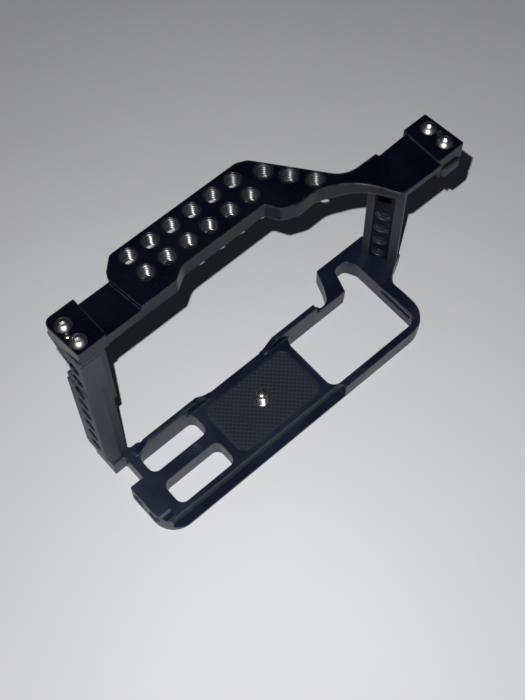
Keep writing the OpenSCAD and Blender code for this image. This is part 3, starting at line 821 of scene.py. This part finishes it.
class CAGE_OT_camera_screw(Operator):
    """Make the captive camera screw with its real thread"""

    bl_idname = "cage.camera_screw"
    bl_label = "Camera Screw"

    def execute(self, context):
        thread = context.scene.camera_cage.thread
        low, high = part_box("camera_screw")
        washer_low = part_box("screw_washer")[0]
        ring_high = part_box("screw_ring")[1]
        radius = MOUNTS["camera_screw"]["dims"]["r_mm"] * MM
        root = radius - thread.depth
        head = (high.x - low.x) / 2
        neck = 2.4 * MM
        thread_start = ring_high.z + 0.1 * MM
        dog = 1.5 * MM
        profile = [
            (0.0, low.z),
            (head - 0.45 * MM, low.z),
            (head - 0.12 * MM, low.z + 0.12 * MM),
            (head, low.z + 0.45 * MM),
            (head, washer_low.z - 0.35 * MM),
            (head - 0.3 * MM, washer_low.z - 0.02 * MM),
            (neck, washer_low.z - 0.02 * MM),
            (neck, thread_start),
            (root, thread_start),
            (root, high.z - dog),
            (root - 0.25 * MM, high.z - dog + 0.3 * MM),
            (root - 0.30 * MM, high.z - 0.80 * MM),
            (root - 0.45 * MM, high.z - 0.45 * MM),
            (root - 0.80 * MM, high.z - 0.20 * MM),
            (root - 1.30 * MM, high.z - 0.06 * MM),
            (0.0, high.z),
        ]
        builder = bmesh.new()
        rings = [add_circle(builder, distance, z, 64) for distance, z in profile]
        for below, above in zip(rings, rings[1:]):
            join_rings(builder, below, above)
        screw = mesh_from("camera_screw_turned", builder)
        finish = steel("camera_screw_steel", (0.74, 0.73, 0.71), 0.26, marks=0.3)
        piece = new_piece(
            "camera_screw_turned", screw, finish, "captive_screw"
        )
        self.cut_drive(piece, low, head)
        builder = bmesh.new()
        builder.from_mesh(piece.data)
        start = Matrix.Translation((0, 0, thread_start))
        length = high.z - dog - thread_start
        add_helix(builder, start, root - 0.02 * MM, radius, thread.pitch, length, 48)
        builder.to_mesh(piece.data)
        builder.free()
        shade_smooth_by_angle(piece.data, math.radians(28))
        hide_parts("camera_screw")
        return {"FINISHED"}

    def cut_drive(self, piece, low, head):
        """Cuts the coin slot and the hexagon socket into the head."""
        cutter = bmesh.new()
        slot_size = Vector((head * 2.4, 1.6 * MM, 2.4 * MM))
        slot_place = Matrix.Translation((0, 0, low.z)) @ Matrix.Diagonal((*slot_size, 1))
        bmesh.ops.create_cube(cutter, size=1, matrix=slot_place)
        slot_mesh = mesh_from("coin_slot_cut", cutter)
        cutter = bmesh.new()
        bmesh.ops.create_cone(
            cutter,
            cap_ends=True,
            segments=6,
            radius1=2.31 * MM,
            radius2=2.31 * MM,
            depth=5.2 * MM,
            matrix=Matrix.Translation((0, 0, low.z)),
        )
        socket_mesh = mesh_from("key_socket_cut", cutter)
        for mesh in (slot_mesh, socket_mesh):
            tool = bpy.data.objects.new(mesh.name, mesh)
            bpy.context.scene.collection.objects.link(tool)
            cut = piece.modifiers.new(mesh.name, "BOOLEAN")
            cut.operation = "DIFFERENCE"
            cut.solver = "MANIFOLD"
            cut.object = tool
            graph = bpy.context.evaluated_depsgraph_get()
            result = bpy.data.meshes.new_from_object(piece.evaluated_get(graph))
            piece.modifiers.clear()
            piece.data = result
            bpy.data.objects.remove(tool)


class CAGE_OT_pad(Operator):
    """Make the rubber pad with its diagonal rows of knobs"""

    bl_idname = "cage.pad"
    bl_label = "Rubber Pad"

    def execute(self, context):
        pad = context.scene.camera_cage.pad
        low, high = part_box("base_pad")
        floor = high.z - pad.height
        builder = bmesh.new()
        builder.from_mesh(FRAME["nodes"]["base_pad"].data)
        bmesh.ops.remove_doubles(builder, verts=builder.verts, dist=0.01 * MM)
        for vertex in builder.verts:
            if vertex.co.z > high.z - 0.05 * MM:
                vertex.co.z = floor
        room = min(Vector(v.co.xy).length for v in builder.verts)
        outer, bottom, top = room + 0.05 * MM, high.z - 0.65 * MM, floor + 0.005 * MM
        self.add_skin(builder, pad.screw_hole, outer, bottom, top)
        self.add_knobs(builder, pad, low, high, floor)
        mesh = mesh_from("pad_knurled", builder)
        finish = rubber("pad_rubber_moulded", tuple(pad.tone))
        piece = new_piece("pad_knurled", mesh, finish, "cage")
        shade_smooth_by_angle(piece.data, math.radians(20))
        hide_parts("base_pad")
        return {"FINISHED"}

    def add_skin(self, builder, inner, outer, bottom, top):
        """The thin part of the pad that reaches over the retaining ring, up to the screw."""
        steps = 48
        rings = []
        for i in range(steps):
            angle = math.tau * i / steps
            x, y = math.cos(angle), math.sin(angle)
            section = ((outer, bottom), (outer, top), (inner, top), (inner, bottom))
            rings.append([builder.verts.new((x * radius, y * radius, z)) for radius, z in section])
        for ring, after in zip(rings, rings[1:] + rings[:1]):
            join_rings(builder, ring, after)

    def add_knobs(self, builder, pad, low, high, floor):
        """Rows of knobs at 45 degrees to the cage, cut off along the pad's border."""
        middle = (low + high) / 2
        corner = 4.5 * MM
        reach = Vector(((high.x - low.x) / 2 - pad.border, (high.y - low.y) / 2 - pad.border))
        base, tip = pad.pitch * 0.44, pad.pitch * 0.20
        step = pad.pitch / math.sqrt(2)
        count = int((reach.x + reach.y) / pad.pitch) + 2
        for row in range(-count, count + 1):
            for column in range(-count, count + 1):
                x, y = (row + column) * step, (row - column) * step
                over_x = max(0.0, abs(x) - (reach.x - corner))
                over_y = max(0.0, abs(y) - (reach.y - corner))
                if abs(x) > reach.x or abs(y) > reach.y or math.hypot(over_x, over_y) > corner:
                    continue
                place = Vector((middle.x + x, middle.y + y))
                if place.length < pad.screw_hole + base:
                    continue
                levels = ((base, floor - 0.05 * MM), (tip, floor + pad.height))
                self.add_knob(builder, place, levels, middle, reach)

    def add_knob(self, builder, place, levels, middle, reach):
        """One low pyramid with a flat top and its corners along X and Y, kept inside the border."""
        rings = []
        for size, z in levels:
            half = size * math.sqrt(2)
            ring = []
            for dx, dy in ((half, 0), (0, half), (-half, 0), (0, -half)):
                x = min(max(place.x + dx, middle.x - reach.x), middle.x + reach.x)
                y = min(max(place.y + dy, middle.y - reach.y), middle.y + reach.y)
                ring.append(builder.verts.new((x, y, z)))
            rings.append(ring)
        below, above = rings
        join_rings(builder, below, above)
        builder.faces.new(above)
        builder.faces.new(below[::-1])


class CAGE_OT_fasteners(Operator):
    """Finish the screws, pins, washer, ring and adhesive"""

    bl_idname = "cage.fasteners"
    bl_label = "Fasteners"

    def execute(self, context):
        for node in ("top_left_screws", "top_right_screws"):
            low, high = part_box(node)
            middle = tuple((low + high) / 2)
            paint_node(node, steel(f"{node}_steel", STEEL_TONE, 0.34, middle, marks=0.12))
        for node in ("left_foot_screws", "right_foot_screws"):
            paint_node(node, steel(f"{node}_steel", STEEL_TONE, 0.26))
        for node in ("top_left_pin", "top_right_pin", "left_foot_pins", "right_foot_pins"):
            paint_node(node, steel(f"{node}_steel", PIN_TONE, 0.16, marks=0.08))
        self.add_pin_dome("top_left_pin")
        paint_node("screw_washer", steel("washer_steel_plain", (0.58, 0.57, 0.55), 0.3))
        paint_node("screw_ring", steel("ring_steel_spring", (0.36, 0.36, 0.37), 0.28))
        oxide, rubbed_oxide = (0.004, 0.006, 0.012), (0.03, 0.032, 0.04)
        paint_node(
            "slot_bar_screw",
            anodised("slot_screw_oxide", oxide, 0.4, 0.12 * MM, rubbed_oxide, wear=0.4),
        )
        paint_node("pad_adhesive", film("adhesive_film", (0.55, 0.53, 0.45)))
        return {"FINISHED"}

    def add_pin_dome(self, node):
        """The domed end of a dowel pin, just proud of the top face."""
        low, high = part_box(node)
        radius = (high.x - low.x) / 2
        rise = 0.3 * MM
        ball = (radius * radius + rise * rise) / (2 * rise)
        middle = (low + high) / 2
        levels = 6
        builder = bmesh.new()
        rings = []
        for level in range(levels):
            distance = radius * (1 - level / levels)
            z = high.z + rise - ball + math.sqrt(ball * ball - distance * distance)
            rings.append(add_circle(builder, distance, z, 32, middle))
        rings.append(add_circle(builder, 0.0, high.z + rise, 1, middle))
        for below, above in zip(rings, rings[1:]):
            join_rings(builder, below, above)
        mesh = mesh_from(f"{node}_dome", builder)
        shade_smooth_by_angle(mesh)
        finish = steel(f"{node}_dome_steel", PIN_TONE, 0.2, marks=0.05)
        new_piece(f"{node}_dome", mesh, finish, "cage")


class CAGE_OT_stage(Operator):
    """Set up the table, the lamps and the camera"""

    bl_idname = "cage.stage"
    bl_label = "Stage"

    # where the camera stands and its three directions: right, up and back
    camera_place = Vector((-0.1505, -0.1778, 0.50948))
    camera_right = Vector((0.75022952, -0.66111997, -0.00872129))
    camera_up = Vector((0.59347146, 0.66753118, 0.44965959))
    camera_back = Vector((-0.2914572, -0.34252373, 0.89315743))
    flash_place = Vector((-0.1471, -0.1477, 0.5221))
    flash_aim = Vector((-0.03, -0.05, 0.0))
    flash_size, flash_spread = 4 * MM, math.radians(118)
    fill_place = Vector((0.35, 0.55, 0.5))
    fill_aim = Vector((0.0, 0.0, 0.05))
    fill_size = 0.6

    def execute(self, context):
        stage = context.scene.camera_cage.stage
        scene = context.scene
        self.add_table(tuple(stage.floor_tone))
        flash = self.add_lamp("flash_lamp", self.flash_place, self.flash_aim, self.flash_size)
        flash.energy = stage.lamp_power
        flash.spread = self.flash_spread
        fill = self.add_lamp("fill_lamp", self.fill_place, self.fill_aim, self.fill_size)
        fill.energy = stage.fill_power
        world = bpy.data.worlds.new("room")
        world.use_nodes = True
        world.node_tree.nodes["Background"].inputs["Color"].default_value = ROOM_TONE
        scene.world = world
        scene.view_settings.view_transform = "Standard"
        lens = bpy.data.cameras.new("photo_camera")
        lens.sensor_fit = "AUTO"
        lens.sensor_width = 36
        lens.lens = stage.lens
        lens.clip_start, lens.clip_end = 0.01, 20
        camera = bpy.data.objects.new("photo_camera", lens)
        scene.collection.objects.link(camera)
        turn = Matrix((self.camera_right, self.camera_up, self.camera_back)).transposed().to_4x4()
        camera.matrix_world = Matrix.Translation(self.camera_place) @ turn
        scene.camera = camera
        return {"FINISHED"}

    def add_table(self, tone):
        """A table top under the cage, large enough for every view."""
        low = CAD_BOUNDS[0]
        place = Matrix.Translation((0, 0, low.z - 0.02 * MM))
        builder = bmesh.new()
        bmesh.ops.create_grid(builder, x_segments=8, y_segments=8, size=4.0, matrix=place)
        mesh = mesh_from("table_top", builder)
        material, sheet = new_material("table_laminate")
        cloud = sheet.band(sheet.noise(object_place(sheet), 9.0, 3.0), 0.3, 0.7)
        colour = sheet.mix(cloud, tone, tuple(channel * 0.97 for channel in tone))
        shader = sheet.add("ShaderNodeBsdfPrincipled", {"Base Color": colour, "Roughness": 0.6})
        finish_material(sheet, shader)
        mesh.materials.append(material)
        table = bpy.data.objects.new("table_top", mesh)
        bpy.context.scene.collection.objects.link(table)

    def add_lamp(self, name, place, aim, size):
        """A round lamp at place that faces aim."""
        lamp = bpy.data.lights.new(name, "AREA")
        lamp.shape = "DISK"
        lamp.size = size
        holder = bpy.data.objects.new(name, lamp)
        holder.location = place
        holder.rotation_euler = (aim - place).to_track_quat("-Z", "Y").to_euler()
        bpy.context.scene.collection.objects.link(holder)
        return lamp


class CAGE_PT_panel(Panel):
    """Lists the steps of the cage and their settings"""

    bl_idname = "CAGE_PT_panel"
    bl_label = "Camera Cage"
    bl_space_type = "VIEW_3D"
    bl_region_type = "UI"
    bl_category = "Cage"

    def draw(self, context):
        settings = context.scene.camera_cage
        for operator in OPERATORS:
            self.layout.operator(operator.bl_idname)
        for label in ("metal", "thread", "pad", "stage"):
            group = getattr(settings, label)
            box = self.layout.box()
            box.label(text=label.title())
            for name in group.__annotations__:
                box.prop(group, name)


OPERATORS = (
    CAGE_OT_metal,
    CAGE_OT_threads,
    CAGE_OT_camera_screw,
    CAGE_OT_pad,
    CAGE_OT_fasteners,
    CAGE_OT_stage,
)
CLASSES = (
    CageMetalSettings,
    CageThreadSettings,
    CagePadSettings,
    CageStageSettings,
    CageSettings,
    *OPERATORS,
    CAGE_PT_panel,
)


def register():
    for item in CLASSES:
        bpy.utils.register_class(item)
    bpy.types.Scene.camera_cage = PointerProperty(type=CageSettings)


def unregister():
    del bpy.types.Scene.camera_cage
    for item in reversed(CLASSES):
        bpy.utils.unregister_class(item)


def main():
    register()
    edge_group()
    blasted_group()
    lathe_group()
    bpy.ops.cage.metal()
    bpy.ops.cage.threads()
    bpy.ops.cage.camera_screw()
    bpy.ops.cage.pad()
    bpy.ops.cage.fasteners()
    bpy.ops.cage.stage()


if __name__ == "__main__":
    main()
